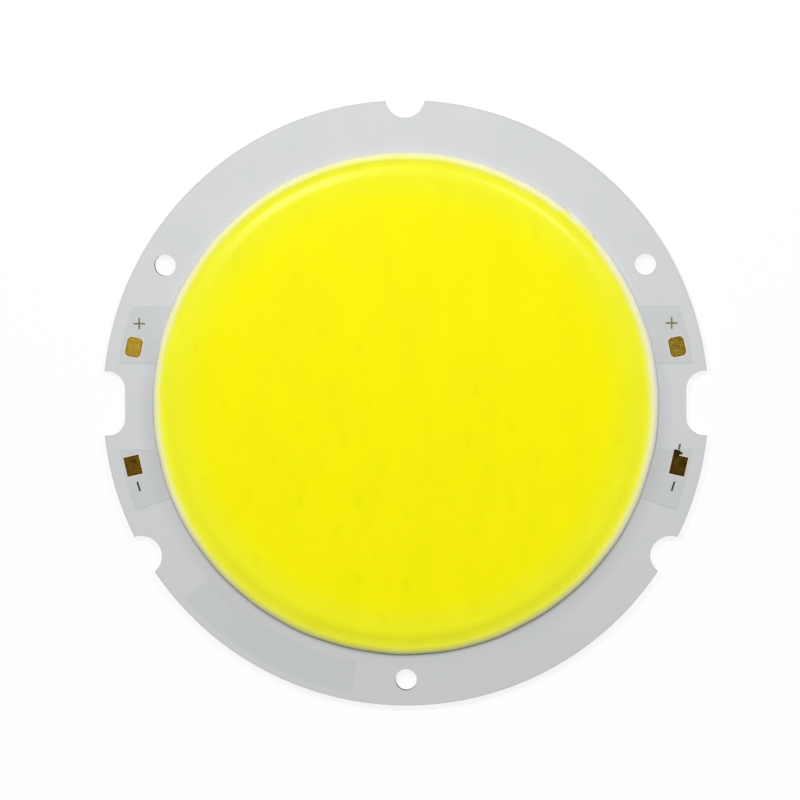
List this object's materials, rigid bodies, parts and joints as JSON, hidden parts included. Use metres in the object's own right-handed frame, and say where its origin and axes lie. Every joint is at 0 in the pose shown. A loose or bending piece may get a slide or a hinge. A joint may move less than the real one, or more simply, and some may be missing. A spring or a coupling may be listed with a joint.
{
  "type": "cob led",
  "caption": "Round chip-on-board LED module: aluminium board with white mask, silicone dam, yellow phosphor gel over the LED chips, and positive and negative pads at both sides.",
  "frame": {"origin": "centre of the board on its flat back face", "axes": "+Z out of the light-emitting face, +Y towards the positive pads, +X towards the right-hand pads"},
  "size_m": [0.0756, 0.0759, 0.0025],
  "materials": {
    "aluminium_board": "brushed",
    "dielectric": "matt",
    "copper": "satin copper",
    "white_mask": "satin white",
    "dam_silicone": "glossy white silicone",
    "phosphor": "glossy yellow gel",
    "solder": "bright solder",
    "led_chip": "polished die",
    "gold_plating": "brushed gold",
    "mark_ink": "matt ink"
  },
  "bodies": {
    "root": {"base_plate": "aluminium_board", "dielectric_layer": "dielectric", "copper_plus_rail": "copper", "copper_minus_rail": "copper", "solder_mask": "white_mask", "dam_ring": "dam_silicone", "phosphor_gel": "phosphor", "copper_links_string_1": "copper", "copper_links_string_2": "copper", "copper_links_string_3": "copper", "copper_links_string_4": "copper", "copper_links_string_5": "copper", "copper_links_string_6": "copper", "copper_links_string_7": "copper", "copper_links_string_8": "copper", "copper_links_string_9": "copper", "copper_links_string_10": "copper", "solder_joints_string_1": "solder", "solder_joints_string_2": "solder", "solder_joints_string_3": "solder", "solder_joints_string_4": "solder", "solder_joints_string_5": "solder", "solder_joints_string_6": "solder", "solder_joints_string_7": "solder", "solder_joints_string_8": "solder", "solder_joints_string_9": "solder", "solder_joints_string_10": "solder", "led_chips_string_1": "led_chip", "led_chips_string_2": "led_chip", "led_chips_string_3": "led_chip", "led_chips_string_4": "led_chip", "led_chips_string_5": "led_chip", "led_chips_string_6": "led_chip", "led_chips_string_7": "led_chip", "led_chips_string_8": "led_chip", "led_chips_string_9": "led_chip", "led_chips_string_10": "led_chip", "plus_pad_left": "gold_plating", "plus_pad_right": "gold_plating", "minus_pad_left": "gold_plating", "minus_pad_right": "gold_plating", "plus_mark_left": "mark_ink", "plus_mark_right": "mark_ink", "minus_mark_left": "mark_ink", "minus_mark_right": "mark_ink"}
  },
  "joints": []
}
